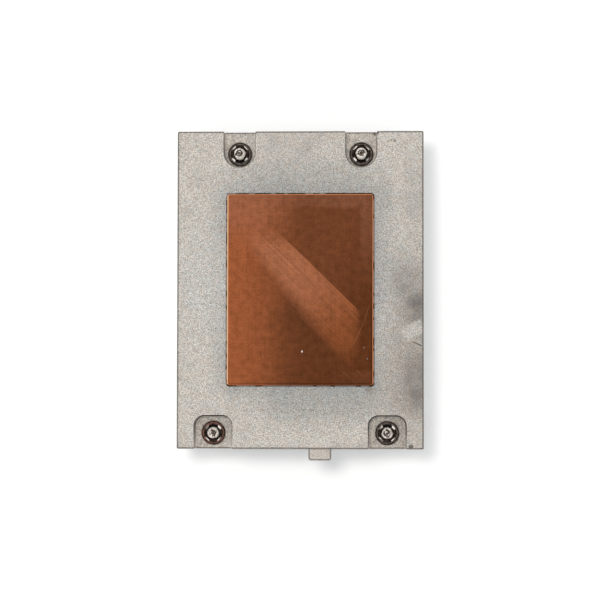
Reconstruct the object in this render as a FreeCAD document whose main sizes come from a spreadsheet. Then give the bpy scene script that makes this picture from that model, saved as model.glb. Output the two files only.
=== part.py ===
import FreeCAD
import Part
import Sketcher

import math
import os
import re

from FreeCAD import Rotation, Vector

# Server processor heat sink, lying fins down with its contact face up, as it is stored.
# Millimetres. The origin is the middle of the copper contact face, +Z points out of that face,
# +Y runs along the casting towards the closer pair of screws, and +X is to the right.

doc = FreeCAD.newDocument("HeatSink")
sheet = doc.addObject("Spreadsheet::Sheet", "Sizes")

SIZES = {
    # Die-cast base
    "base_width": 95.0,
    "base_length": 122.5,
    "base_thick": 6.5,
    "base_corner": 0.6,
    "base_edge": 0.35,
    # Copper contact plate, let into a window in the base
    "plate_width": 56.4,
    "plate_length": 73.8,
    "plate_thick": 3.5,
    "plate_proud": 0.5,
    "plate_corner": 1.3,
    "plate_bevel": 0.4,
    "window_gap": 0.3,
    # Screw rows, each at its own distance from the base's nearer end
    "upper_spacing": 47.0,
    "upper_row_margin": 8.65,
    "lower_spacing": 67.0,
    "lower_row_margin": 6.15,
    # Recesses round the screw ends, open at the base's edge
    "recess_depth": 3.5,
    "upper_recess_width": 12.2,
    "upper_recess_behind": 5.3,
    "lower_recess_width": 14.6,
    "lower_recess_behind": 6.7,
    "lower_recess_corner": 4.0,
    # Locating tab on the lower edge
    "tab_width": 8.8,
    "tab_reach": 4.4,
    "tab_thick": 3.0,
    "tab_drop": 1.2,
    "tab_offset": 7.6,
    "tab_corner": 1.0,
    # Flattened heat pipes, soldered in grooves in the back of the base
    "pipe_width": 10.4,
    "pipe_pitch": 13.0,
    "pipe_play": 0.1,
    "pipe_margin": 4.2,
    "pipe_web": 0.6,
    "nose_width": 5.0,
    "nose_length": 5.0,
    # Zipper fins
    "fin_pitch": 2.5,
    "fin_thick": 0.4,
    "fin_height": 19.0,
    "fin_margin": 2.5,
    "fin_inset": 1.0,
    "fin_gap": 0.05,
    "driver_room": 14.0,
    "tongue_width": 5.0,
    "tongue_length": 1.2,
    "tongue_station": 30.0,
    "tongue_play": 0.15,
    # Captive screws
    "thread": 4.0,
    "thread_reach": 4.0,
    "shank": 4.6,
    "hole_play": 0.25,
    "shoulder": 5.8,
    "travel": 3.5,
    "head_flange": 1.0,
    "head_hub": 6.4,
    "head_hub_height": 2.0,
    "head_rim": 0.1,
    "drive_across": 3.9,
    "drive_waist": 2.8,
    "drive_lobe": 0.9,
    "drive_depth": 1.7,
    "groove": 3.2,
    # Springs
    "spring_wire": 0.9,
    "spring_length": 10.0,
    "spring_play": 0.3,
    "seat_depth": 0.8,
    "seat_play": 0.35,
    # Washers and retaining clips
    "washer_outer": 9.3,
    "washer_thick": 0.8,
    "washer_play": 0.2,
    "clip_outer": 7.2,
    "clip_thick": 0.6,
    "clip_web": 0.95,
    "clip_mouth": 2.7,
    "clip_play": 0.05,
}
PIPE_COUNT = 4
SPRING_TURNS = 4

for row, (alias, number) in enumerate(SIZES.items(), start=1):
    sheet.set(f"A{row}", alias.replace("_", " "))
    sheet.set(f"B{row}", str(number))
    sheet.setAlias(f"B{row}", alias)
doc.recompute()


def cells(formula):
    """The formula with each size's name written as its cell in the sheet."""
    return re.sub(
        r"[a-z_]+",
        lambda word: f"Sizes.{word[0]}" if word[0] in SIZES else word[0],
        formula,
    )


def value(formula):
    """What the formula comes to."""
    return float(sheet.evalExpression(cells(formula)))


# Levels and places that several pieces share, as formulas
BACK = "(plate_proud + base_thick)"
PIPE_THICK = f"({BACK} - plate_thick)"
SPRING_MEAN = "(shoulder + 2 * spring_play + spring_wire)"
SPRING_OUTER = f"({SPRING_MEAN} + spring_wire)"
SEAT = "(recess_depth - base_thick + seat_depth)"
HEAD = f"({SEAT} - spring_length)"
UPPER_ROW = "(base_length / 2 - upper_row_margin)"
LOWER_ROW = "(base_length / 2 - lower_row_margin)"
SCREWS = {
    "upper_left": ("-upper_spacing / 2", UPPER_ROW, 0),
    "upper_right": ("upper_spacing / 2", UPPER_ROW, 0),
    "lower_left": ("-lower_spacing / 2", f"-{LOWER_ROW}", 180),
    "lower_right": ("lower_spacing / 2", f"-{LOWER_ROW}", 180),
}


def new_body(label, x="0", y="0", z="0", turn=0):
    """A body with its own name, placed by formulas and turned about Z."""
    body = doc.addObject("PartDesign::Body", label)
    body.Label = label
    body.Placement.Rotation = Rotation(Vector(0, 0, 1), turn)
    for axis, formula in (("x", x), ("y", y), ("z", z)):
        body.setExpression(f".Placement.Base.{axis}", cells(formula))
    return body


def new_sketch(body, name, role="XY_Plane", level="0"):
    """A sketch on one of the body's own planes, moved along its normal by level."""
    sketch = body.newObject("Sketcher::SketchObject", name)
    plane = next(f for f in body.Origin.OriginFeatures if f.Role == role)
    sketch.AttachmentSupport = (plane, "")
    sketch.MapMode = "FlatFace"
    sketch.setExpression(".AttachmentOffset.Base.z", cells(level))
    return sketch


def bind(sketch, name, constraint, formula):
    """Adds a constraint whose size follows a formula."""
    index = sketch.addConstraint(constraint)
    sketch.renameConstraint(index, name)
    sketch.setExpression(f"Constraints.{name}", cells(formula))


def arc_between(start, end, radius, turn):
    """The arc under half a circle from start to end: turn is 1 anticlockwise, -1 clockwise."""
    chord = end - start
    height = math.sqrt(max(radius**2 - chord.Length**2 / 4, 0))
    side = Vector(-chord.y, chord.x, 0).normalize() * height * turn
    centre = (start + end) / 2 + side
    first, last = (start, end) if turn > 0 else (end, start)
    from_centre = first - centre
    to_centre = last - centre
    circle = Part.Circle(centre, Vector(0, 0, 1), radius)
    return Part.ArcOfCircle(
        circle,
        math.atan2(from_centre.y, from_centre.x),
        math.atan2(to_centre.y, to_centre.x),
    )


def outline(sketch, corners):
    """A closed outline. A corner is (x, y), and (x, y, radius, turn) starts an arc to the next."""
    points = [Vector(value(c[0]), value(c[1]), 0) for c in corners]
    made = []
    for n, corner in enumerate(corners):
        start = points[n]
        end = points[(n + 1) % len(points)]
        if len(corner) == 2:
            index = sketch.addGeometry(Part.LineSegment(start, end), False)
            made.append((index, 1, 2))
        else:
            arc = arc_between(start, end, value(corner[2]), corner[3])
            index = sketch.addGeometry(arc, False)
            made.append((index, 1, 2) if corner[3] > 0 else (index, 2, 1))
    for n, (index, first, last) in enumerate(made):
        after, start_of_next, _ = made[(n + 1) % len(made)]
        sketch.addConstraint(Sketcher.Constraint("Coincident", index, last, after, start_of_next))
        x, y = corners[n][:2]
        across = Sketcher.Constraint("DistanceX", -1, 1, index, first, value(x))
        bind(sketch, f"x{index}", across, x)
        along = Sketcher.Constraint("DistanceY", -1, 1, index, first, value(y))
        bind(sketch, f"y{index}", along, y)
        if len(corners[n]) > 2:
            radius = corners[n][2]
            bind(sketch, f"r{index}", Sketcher.Constraint("Radius", index, value(radius)), radius)


def box_outline(sketch, left, right, low, high):
    """A rectangle between four formulas."""
    outline(sketch, [(left, low), (right, low), (right, high), (left, high)])


def round_box_outline(sketch, left, right, low, high, radius):
    """A rectangle with four rounded corners."""
    inner_left, inner_right = f"({left}) + {radius}", f"({right}) - {radius}"
    inner_low, inner_high = f"({low}) + {radius}", f"({high}) - {radius}"
    outline(
        sketch,
        [
            (inner_left, low),
            (inner_right, low, radius, 1),
            (right, inner_low),
            (right, inner_high, radius, 1),
            (inner_right, high),
            (inner_left, high, radius, 1),
            (left, inner_high),
            (left, inner_low, radius, 1),
        ],
    )


def circle_outline(sketch, x, y, diameter):
    """A circle about a point given by formulas."""
    centre = Vector(value(x), value(y), 0)
    index = sketch.addGeometry(Part.Circle(centre, Vector(0, 0, 1), value(diameter) / 2), False)
    across = Sketcher.Constraint("DistanceX", -1, 1, index, 3, value(x))
    bind(sketch, f"x{index}", across, x)
    along = Sketcher.Constraint("DistanceY", -1, 1, index, 3, value(y))
    bind(sketch, f"y{index}", along, y)
    bind(sketch, f"d{index}", Sketcher.Constraint("Diameter", index, value(diameter)), diameter)


def pad(body, sketch, length, reverse=False):
    """Material from the sketch along its normal, or against it."""
    feature = body.newObject("PartDesign::Pad", f"{sketch.Name}_pad")
    feature.Profile = sketch
    feature.Reversed = reverse
    feature.setExpression("Length", cells(length))
    return feature


def pocket(body, sketch, length, reverse=False):
    """A cut from the sketch against its normal, or along it."""
    feature = body.newObject("PartDesign::Pocket", f"{sketch.Name}_cut")
    feature.Profile = sketch
    feature.Reversed = reverse
    feature.setExpression("Length", cells(length))
    return feature


def chamfer_rim(body, name, feature, level, size):
    """A chamfer on the edges of the feature that lie flat at one level."""
    doc.recompute()
    height = value(level)
    rim = [
        f"Edge{number}"
        for number, edge in enumerate(feature.Shape.Edges, start=1)
        if max(abs(edge.BoundBox.ZMin - height), abs(edge.BoundBox.ZMax - height)) < 1e-4
    ]
    chamfer = body.newObject("PartDesign::Chamfer", name)
    chamfer.Base = (feature, rim)
    chamfer.setExpression("Size", cells(size))


def base_casting():
    """The die-cast base: window, screw recesses, spring seats, pipe grooves and locating tab."""
    body = new_body("base_casting")
    face = "-plate_proud"
    half_width, half_length = "base_width / 2", "base_length / 2"

    slab = new_sketch(body, "slab", level=face)
    round_box_outline(
        slab, f"-{half_width}", half_width, f"-{half_length}", half_length, "base_corner"
    )
    slab_pad = pad(body, slab, "base_thick", reverse=True)
    chamfer_rim(body, "slab_edge", slab_pad, face, "base_edge")

    tab = new_sketch(body, "tab", level=f"{face} - tab_drop")
    round_box_outline(
        tab,
        "tab_offset - tab_width / 2",
        "tab_offset + tab_width / 2",
        f"-{half_length} - tab_reach",
        f"-{half_length} + tab_reach",
        "tab_corner",
    )
    pad(body, tab, "tab_thick", reverse=True)

    window = new_sketch(body, "window", level=face)
    round_box_outline(
        window,
        "-plate_width / 2 - window_gap",
        "plate_width / 2 + window_gap",
        "-plate_length / 2 - window_gap",
        "plate_length / 2 + window_gap",
        "plate_corner",
    )
    pocket(body, window, "plate_thick - plate_proud")

    # The upper recesses are round behind the screw, the lower ones square with rounded corners.
    for side in (-1, 1):
        middle = f"{side} * upper_spacing / 2"
        left = f"{middle} - upper_recess_width / 2"
        right = f"{middle} + upper_recess_width / 2"
        bottom = f"{UPPER_ROW} - upper_recess_behind"
        bend = f"{bottom} + upper_recess_width / 2"
        top = f"{half_length} + recess_depth"
        upper = new_sketch(body, f"upper_recess_{side + 2}", level=face)
        outline(
            upper,
            [
                (left, bend, "upper_recess_width / 2", 1),
                (middle, bottom, "upper_recess_width / 2", 1),
                (right, bend),
                (right, top),
                (left, top),
            ],
        )
        pocket(body, upper, "recess_depth")
    for side in (-1, 1):
        middle = f"{side} * lower_spacing / 2"
        lower = new_sketch(body, f"lower_recess_{side + 2}", level=face)
        round_box_outline(
            lower,
            f"{middle} - lower_recess_width / 2",
            f"{middle} + lower_recess_width / 2",
            f"-{half_length} - lower_recess_corner - recess_depth",
            f"-{LOWER_ROW} + lower_recess_behind",
            "lower_recess_corner",
        )
        pocket(body, lower, "recess_depth")

    holes = new_sketch(body, "screw_holes", level=face)
    seats = new_sketch(body, "spring_seats", level=f"-{BACK}")
    for x, y, _ in SCREWS.values():
        circle_outline(holes, x, y, "shank + 2 * hole_play")
        circle_outline(seats, x, y, f"{SPRING_OUTER} + 2 * seat_play")
    pocket(body, holes, "base_thick")
    pocket(body, seats, "seat_depth", reverse=True)

    grooves = new_sketch(body, "pipe_grooves", level=f"-{BACK}")
    for number in range(PIPE_COUNT):
        outline(grooves, pipe_plan(number, "pipe_play", pipe_place(number)))
    pocket(body, grooves, PIPE_THICK, reverse=True)
    return body


def contact_plate():
    """The flat copper plate that presses on the processor's lid."""
    body = new_body("contact_plate")
    face = new_sketch(body, "plate")
    round_box_outline(
        face,
        "-plate_width / 2",
        "plate_width / 2",
        "-plate_length / 2",
        "plate_length / 2",
        "plate_corner",
    )
    plate = pad(body, face, "plate_thick", reverse=True)
    chamfer_rim(body, "plate_edge", plate, "0", "plate_bevel")
    return body


def pipe_place(number):
    """Where a pipe's middle line runs across the base, counted from the left."""
    return f"{number - (PIPE_COUNT - 1) / 2} * pipe_pitch"


def pipe_ends(number):
    """How far a pipe reaches down and up. The outer ones stop short of the upper screws."""
    low = "-base_length / 2 + pipe_margin"
    if number in (0, PIPE_COUNT - 1):
        return low, f"{UPPER_ROW} - driver_room / 2 - pipe_web"
    return low, "base_length / 2 - pipe_margin"


def pipe_plan(number, play, middle):
    """The corners of a pipe's plan with its tapered ends, wider than the pipe by the play."""
    low, high = pipe_ends(number)
    low_end, high_end = f"{low} - {play}", f"{high} + {play}"
    half, nose = f"(pipe_width / 2 + {play})", f"(nose_width / 2 + {play})"
    return [
        (f"{middle} - {nose}", low_end),
        (f"{middle} + {nose}", low_end),
        (f"{middle} + {half}", f"{low_end} + nose_length"),
        (f"{middle} + {half}", f"{high_end} - nose_length"),
        (f"{middle} + {nose}", high_end),
        (f"{middle} - {nose}", high_end),
        (f"{middle} - {half}", f"{high_end} - nose_length"),
        (f"{middle} - {half}", f"{low_end} + nose_length"),
    ]


def heat_pipe(number):
    """One flattened heat pipe, flush with the back of the base and against the copper plate."""
    body = new_body(f"heat_pipe_{number + 1}", x=pipe_place(number), z=f"-{BACK}")
    low, high = pipe_ends(number)
    flat = f"pipe_width / 2 - {PIPE_THICK} / 2"
    section = new_sketch(body, f"pipe_{number + 1}", "XZ_Plane", f"-({high})")
    outline(
        section,
        [
            (f"-({flat})", "0"),
            (flat, "0", f"{PIPE_THICK} / 2", 1),
            ("pipe_width / 2", f"{PIPE_THICK} / 2", f"{PIPE_THICK} / 2", 1),
            (flat, PIPE_THICK),
            (f"-({flat})", PIPE_THICK, f"{PIPE_THICK} / 2", 1),
            ("-pipe_width / 2", f"{PIPE_THICK} / 2", f"{PIPE_THICK} / 2", 1),
        ],
    )
    pad(body, section, f"{high} - ({low})")
    for side in (-1, 1):
        noses = new_sketch(body, f"pipe_{number + 1}_noses_{side + 2}")
        outer = f"{side} * pipe_width"
        half = f"{side} * pipe_width / 2"
        nose = f"{side} * nose_width / 2"
        outline(
            noses,
            [
                (nose, f"{low} - nose_length"),
                (outer, f"{low} - nose_length"),
                (outer, f"{low} + nose_length"),
                (half, f"{low} + nose_length"),
                (nose, low),
            ],
        )
        outline(
            noses,
            [
                (nose, f"{high} + nose_length"),
                (outer, f"{high} + nose_length"),
                (outer, f"{high} - nose_length"),
                (half, f"{high} - nose_length"),
                (nose, high),
            ],
        )
        pocket(body, noses, PIPE_THICK, reverse=True)
    return body


def fin_end(place, spacing, row):
    """How far a fin reaches past the middle: shorter where a screwdriver has to pass."""
    pitch = value("fin_pitch")
    from_middle = abs(place + 0.5) * pitch
    near = value(f"{spacing} / 2 - driver_room / 2")
    far = value(f"{spacing} / 2 + driver_room / 2")
    strip = value("base_width / 2") - far
    cut_to_edge = strip < value("driver_room")
    if from_middle > near - pitch / 2 and (cut_to_edge or from_middle < far + pitch / 2):
        return f"{row} - driver_room / 2"
    return "base_length / 2 - fin_inset"


def fin(side, count, last):
    """One stamped fin with folded edges that meet the next fin, and tongues that lock into it."""
    place = count - 1 if side == "right" else -count
    body = new_body(f"fin_{side}_{count:02d}", x=f"{place} * fin_pitch", z=f"-{BACK}")
    upper = fin_end(place, "upper_spacing", UPPER_ROW)
    lower = fin_end(place, "lower_spacing", LOWER_ROW)
    edge = "(fin_pitch - fin_gap)"
    name = f"fin_{side}_{count}"

    profile = new_sketch(body, f"{name}_fold", "XZ_Plane", f"-({upper})")
    outline(
        profile,
        [
            (edge, "0"),
            ("0", "0"),
            ("0", "-fin_height"),
            (edge, "-fin_height"),
            (edge, "fin_thick - fin_height"),
            ("fin_thick", "fin_thick - fin_height"),
            ("fin_thick", "-fin_thick"),
            (edge, "-fin_thick"),
        ],
    )
    pad(body, profile, f"{upper} + {lower}")

    stations = ("tongue_station", "-tongue_station")
    if not last:
        tongues = new_sketch(body, f"{name}_tongues", level="-fin_height")
        for station in stations:
            box_outline(
                tongues,
                "fin_pitch / 2",
                "fin_pitch + tongue_length",
                f"{station} - tongue_width / 2",
                f"{station} + tongue_width / 2",
            )
        pad(body, tongues, "fin_thick")
    slots = new_sketch(body, f"{name}_slots", level="-fin_height")
    for station in stations:
        box_outline(
            slots,
            "-fin_thick",
            "tongue_length + tongue_play",
            f"{station} - tongue_width / 2 - tongue_play",
            f"{station} + tongue_width / 2 + tongue_play",
        )
    pocket(body, slots, "fin_thick + tongue_play", reverse=True)
    return body


def screw_body(kind, corner):
    """A body on one screw's axis, with its own zero height at the floor of the recess."""
    x, y, turn = SCREWS[corner]
    return new_body(f"{kind}_{corner}", x, y, "-plate_proud - recess_depth", turn)


def polar(diameter, angle):
    """A point on a circle about the screw's axis, as two formulas."""
    return f"{diameter} / 2 * cos({angle})", f"{diameter} / 2 * sin({angle})"


def captive_screw(corner):
    """A shouldered screw: flanged head, shank through the base, clip groove and threaded end."""
    body = screw_body("screw", corner)
    half = new_sketch(body, f"screw_half_{corner}", "XZ_Plane")
    thread, shank, shoulder, groove = "thread / 2", "shank / 2", "shoulder / 2", "groove / 2"
    flange = f"{SPRING_OUTER} / 2 + head_rim"
    groove_low = "washer_thick - clip_play"
    groove_high = "washer_thick + clip_thick + clip_play"
    tip = f"{groove_high} + thread_reach"
    shoulder_end = f"{SEAT} - travel"
    hub_end = f"{HEAD} - head_flange - head_hub_height"
    outline(
        half,
        [
            ("0", tip),
            ("0", hub_end),
            ("head_hub / 2", hub_end),
            ("head_hub / 2", f"{HEAD} - head_flange"),
            (flange, f"{HEAD} - head_flange"),
            (flange, HEAD),
            (shoulder, HEAD),
            (shoulder, shoulder_end),
            (shank, shoulder_end),
            (shank, groove_low),
            (groove, groove_low),
            (groove, groove_high),
            (thread, groove_high),
            (thread, tip),
        ],
    )
    turned = body.newObject("PartDesign::Revolution", f"screw_turned_{corner}")
    turned.Profile = half
    turned.ReferenceAxis = (half, ["V_Axis"])
    turned.Angle = 360

    core = new_sketch(body, f"drive_core_{corner}", level=hub_end)
    outline(core, [polar("drive_waist", 60 * side + 30) for side in range(6)])
    pocket(body, core, "drive_depth", reverse=True)
    lobe = new_sketch(body, f"drive_lobe_{corner}", level=hub_end)
    waist = "drive_waist / 2 * cos(30)"
    outline(
        lobe,
        [
            (f"{waist} / 2", "-drive_lobe / 2"),
            (f"{waist}", "-drive_lobe / 2"),
            ("drive_across / 2", "-drive_lobe / 4"),
            ("drive_across / 2", "drive_lobe / 4"),
            (f"{waist}", "drive_lobe / 2"),
            (f"{waist} / 2", "drive_lobe / 2"),
        ],
    )
    lobe_cut = pocket(body, lobe, "drive_depth", reverse=True)
    lobes = body.newObject("PartDesign::PolarPattern", f"drive_lobes_{corner}")
    lobes.Originals = [lobe_cut]
    lobes.Axis = (lobe, ["N_Axis"])
    lobes.Angle = 360
    lobes.Occurrences = 6
    body.Tip = lobes
    return body


def washer(corner):
    """The plain washer on the floor of the recess, under the clip."""
    body = screw_body("washer", corner)
    ring = new_sketch(body, f"washer_ring_{corner}")
    circle_outline(ring, "0", "0", "washer_outer")
    circle_outline(ring, "0", "0", "shank + 2 * washer_play")
    pad(body, ring, "washer_thick")
    return body


def retaining_clip(corner):
    """An E-clip: three prongs in the screw's groove, and a mouth that faces the base's middle."""
    body = screw_body("clip", corner)
    plan = new_sketch(body, f"clip_plan_{corner}", level="washer_thick")
    bore = "(groove + 2 * clip_play)"
    window = "(clip_outer - 2 * clip_web)"
    lip = math.degrees(math.acos(value("clip_mouth") / value(bore)))
    outline(
        plan,
        [
            (*polar("clip_outer", -58), "clip_outer / 2", 1),
            (*polar("clip_outer", 90), "clip_outer / 2", 1),
            polar("clip_outer", 238),
            ("-clip_mouth / 2", f"-{bore} / 2 * sin({lip})", f"{bore} / 2", -1),
            polar(bore, 187),
            (*polar(window, 178), f"{window} / 2", -1),
            polar(window, 112),
            (*polar(bore, 108), f"{bore} / 2", -1),
            polar(bore, 72),
            (*polar(window, 68), f"{window} / 2", -1),
            polar(window, 2),
            (*polar(bore, -7), f"{bore} / 2", -1),
            ("clip_mouth / 2", f"-{bore} / 2 * sin({lip})"),
        ],
    )
    pad(body, plan, "clip_thick")
    return body


def hexagon(x, y, across):
    """The corners of a hexagon about a point, with two flats upright."""
    reach = f"{across} / 2 / cos(30)"
    return [
        (f"{x} + {reach} * cos({60 * side + 30})", f"{y} + {reach} * sin({60 * side + 30})")
        for side in range(6)
    ]


def spring(corner):
    """A compression spring from its seat in the base to the screw's head, with ground ends."""
    body = screw_body("spring", corner)
    wire = new_sketch(body, f"spring_wire_{corner}", "XZ_Plane")
    outline(wire, hexagon(f"{SPRING_MEAN} / 2", HEAD, "spring_wire"))
    coil = body.newObject("PartDesign::AdditiveHelix", f"spring_coil_{corner}")
    coil.Profile = wire
    coil.ReferenceAxis = (wire, ["V_Axis"])
    coil.Mode = "height-turns-growth"
    coil.setExpression("Height", cells("spring_length"))
    coil.Turns = SPRING_TURNS
    outer = f"{SPRING_OUTER} + 2"
    above = new_sketch(body, f"spring_above_{corner}", level=SEAT)
    circle_outline(above, "0", "0", outer)
    pocket(body, above, "2 * spring_wire", reverse=True)
    below = new_sketch(body, f"spring_below_{corner}", level=HEAD)
    circle_outline(below, "0", "0", outer)
    pocket(body, below, "2 * spring_wire")
    return body


bodies = [base_casting(), contact_plate()]
bodies += [heat_pipe(number) for number in range(PIPE_COUNT)]
fins_a_side = int(value("(base_width / 2 - fin_margin) / fin_pitch"))
for number in range(1, fins_a_side + 1):
    bodies.append(fin("left", number, False))
    bodies.append(fin("right", number, number == fins_a_side))
for place in SCREWS:
    bodies += [captive_screw(place), washer(place), retaining_clip(place), spring(place)]
doc.recompute()

for item in doc.Objects:
    if "Invalid" in item.State or "Error" in item.State:
        raise RuntimeError(f"{item.Label} failed: {item.State}")
for body in bodies:
    if body.Shape.isNull() or not body.Shape.isValid() or not body.Shape.Solids:
        raise RuntimeError(f"{body.Label} has no valid solid")

os.makedirs("parts", exist_ok=True)
for body in bodies:
    body.Shape.exportStep(f"parts/{body.Label}.step")
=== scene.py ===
import math
from functools import reduce

import bmesh
import bpy
from mathutils import Matrix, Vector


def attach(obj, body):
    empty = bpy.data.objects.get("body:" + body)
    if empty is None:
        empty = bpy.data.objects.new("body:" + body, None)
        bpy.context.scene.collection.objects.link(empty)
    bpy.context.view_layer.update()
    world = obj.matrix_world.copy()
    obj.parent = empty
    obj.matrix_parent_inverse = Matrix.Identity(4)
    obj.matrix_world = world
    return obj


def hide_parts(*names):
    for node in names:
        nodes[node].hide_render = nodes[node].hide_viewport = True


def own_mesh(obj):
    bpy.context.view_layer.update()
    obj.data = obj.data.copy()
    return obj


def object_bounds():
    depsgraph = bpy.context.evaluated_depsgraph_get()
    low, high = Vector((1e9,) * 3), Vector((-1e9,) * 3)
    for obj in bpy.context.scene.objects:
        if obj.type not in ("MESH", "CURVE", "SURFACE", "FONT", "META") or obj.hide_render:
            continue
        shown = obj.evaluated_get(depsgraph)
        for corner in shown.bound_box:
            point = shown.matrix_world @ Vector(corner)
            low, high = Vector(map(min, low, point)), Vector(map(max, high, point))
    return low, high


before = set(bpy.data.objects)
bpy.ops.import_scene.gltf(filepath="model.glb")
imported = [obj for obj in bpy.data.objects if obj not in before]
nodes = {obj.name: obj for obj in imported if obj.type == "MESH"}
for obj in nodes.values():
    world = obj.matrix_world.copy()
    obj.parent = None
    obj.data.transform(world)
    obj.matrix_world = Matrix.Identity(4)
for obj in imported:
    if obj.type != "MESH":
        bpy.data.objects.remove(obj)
solid_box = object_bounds()

# The base is an aluminium die casting, grit blasted, with a window for the contact plate, four
# recesses for the screws, a locating tab, and grooves in its back that the heat pipes lie in.
# It is pale grey, warmer towards its rim and bluish round the copper, and rubbed at the right.

# Sizes are in millimetres, and heights are from the copper's face.
CAST_WIDTH, CAST_LENGTH, CAST_CORNER = 95, 122.5, 0.6
FACE, BACK = -0.5, -7.0
PLATE_WIDTH, PLATE_LENGTH, PLATE_CORNER = 56.4, 73.8, 1.2
PLATE_BACK = -3.5
WINDOW_GAP, WINDOW_CORNER = 0.3, 1.3
TAB_SIDE, TAB_CORNER = 8.8, 1.0
TAB_X, TAB_Y = 7.6, -61.25
TAB_FACE, TAB_BACK = -1.7, -4.7
UPPER_X, UPPER_Y = 23.5, 52.6
LOWER_X, LOWER_Y = 33.5, -55.1
CORNERS = {
    "upper_left": (-UPPER_X, UPPER_Y),
    "upper_right": (UPPER_X, UPPER_Y),
    "lower_left": (-LOWER_X, LOWER_Y),
    "lower_right": (LOWER_X, LOWER_Y),
}
HOLE_RADIUS = 2.55
SPRING_BORE, SPRING_SEAT = 4.45, -6.2
RECESS_FLOOR = -4.0
RECESS_LENGTH = 24
RECESS_DRAFT = 0.16
RECESS_ROOT = 0.45
UPPER_RECESS_WIDTH, UPPER_RECESS_CORNER = 12.2, 5.75
LOWER_RECESS_WIDTH, LOWER_RECESS_CORNER = 14.6, 4.0
UPPER_RECESS_Y = UPPER_Y - 5.3 + RECESS_LENGTH / 2
LOWER_RECESS_Y = LOWER_Y + 6.7 - RECESS_LENGTH / 2
PIPE_SPACING = 13
PIPE_LOW_END = -57.05
PIPE_HIGH_ENDS = (45.0, 57.05, 57.05, 45.0)
GROOVE_WIDTH, GROOVE_NOSE, GROOVE_TAPER = 10.6, 5.2, 5
GROOVE_ROOF = -3.4
GROOVE_GAP = 0.1
BLASTED_EDGE = 0.4
ROUND = 48
TOOL_RISE = 3


def move(shape, x, y, z=0):
    """Moves a whole mesh."""
    bmesh.ops.translate(shape, vec=(x, y, z), verts=shape.verts)
    return shape


def block(width, length, low, high, corner=0, steps=6):
    """A block about the vertical axis, with rounded upright edges."""
    shape = bmesh.new()
    bmesh.ops.create_cube(shape, size=1)
    bmesh.ops.scale(shape, vec=(width, length, high - low), verts=shape.verts)
    move(shape, 0, 0, (low + high) / 2)
    if corner:
        upright = [e for e in shape.edges if e.verts[0].co.xy == e.verts[1].co.xy]
        round_off(shape, upright, corner, steps)
    return shape


def round_off(shape, edges, radius, steps=3):
    """Rounds the edges that are given."""
    bmesh.ops.bevel(
        shape,
        geom=edges,
        offset=radius,
        segments=steps,
        profile=0.5,
        affect="EDGES",
        material=-1,
        clamp_overlap=False,
    )


def peg(radius, low, high):
    """A round bar about the vertical axis."""
    shape = bmesh.new()
    bmesh.ops.create_cone(
        shape, cap_ends=True, segments=ROUND, radius1=radius, radius2=radius, depth=high - low
    )
    return move(shape, 0, 0, (low + high) / 2)


def tapered(width, nose, low, high, taper, bottom, top):
    """A groove's block, narrowed to its nose at both ends."""
    shape = block(width, high - low - 2 * taper, bottom, top)
    move(shape, 0, (low + high) / 2)
    for way in (-1, 1):
        end = [f for f in shape.faces if f.normal.y * way > 0.9]
        grown = bmesh.ops.extrude_face_region(shape, geom=end)["geom"]
        grown = [v for v in grown if isinstance(v, bmesh.types.BMVert)]
        bmesh.ops.translate(shape, vec=(0, way * taper, 0), verts=grown)
        bmesh.ops.scale(shape, vec=(nose / width, 1, 1), verts=grown)
        bmesh.ops.delete(shape, geom=end, context="FACES_ONLY")
    return shape


def recess(width, corner, x, y):
    """The die's block for a recess: drafted walls, and a rounded root round its floor."""
    shape = block(width, RECESS_LENGTH, RECESS_FLOOR, FACE + TOOL_RISE, corner, 12)
    floor = [v for v in shape.verts if v.co.z < FACE]
    drawn_in = (1 - RECESS_DRAFT / width, 1 - RECESS_DRAFT / RECESS_LENGTH, 1)
    bmesh.ops.scale(shape, vec=drawn_in, verts=floor)
    root = [e for e in shape.edges if all(v.co.z < FACE for v in e.verts)]
    round_off(shape, root, RECESS_ROOT)
    return move(shape, x, y)


def made(name, shape):
    """The object that holds a finished bmesh."""
    mesh = bpy.data.meshes.new(name)
    shape.to_mesh(mesh)
    shape.free()
    piece = bpy.data.objects.new(name, mesh)
    bpy.context.collection.objects.link(piece)
    return piece


def carve(piece, tools, operation="DIFFERENCE"):
    """Cuts each tool out of the piece, or welds it on, and throws the tools away."""
    tools = [made("tool", tool) for tool in tools]
    for tool in tools:
        cut = piece.modifiers.new("cut", "BOOLEAN")
        cut.object = tool
        cut.operation = operation
        cut.solver = "EXACT"
    graph = bpy.context.evaluated_depsgraph_get()
    shaped = bpy.data.meshes.new_from_object(piece.evaluated_get(graph))
    piece.modifiers.clear()
    piece.data = shaped
    for tool in tools:
        bpy.data.objects.remove(tool)


def sharp(shape, low, high, angle):
    """The edges of a mesh between two heights that are sharper than an angle."""
    return [
        e
        for e in shape.edges
        if len(e.link_faces) == 2
        and e.calc_face_angle() > math.radians(angle)
        and all(low < v.co.z < high for v in e.verts)
    ]


def hand_over(piece, finish, body, slot, *replaced, crease=30):
    """Sizes a piece to metres, smooths it, gives it its finish and body, and hides the nodes that
    it replaces. The slot is not used.
    """
    mesh = piece.data
    mesh.transform(Matrix.Scale(0.001, 4))
    mesh.polygons.foreach_set("use_smooth", [True] * len(mesh.polygons))
    mesh.set_sharp_from_angle(angle=math.radians(crease))
    mesh.materials.clear()
    mesh.materials.append(finish.material)
    shading = piece.modifiers.new("shading", "WEIGHTED_NORMAL")
    shading.keep_sharp = True
    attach(piece, body)
    if replaced:
        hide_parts(*replaced)


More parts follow.
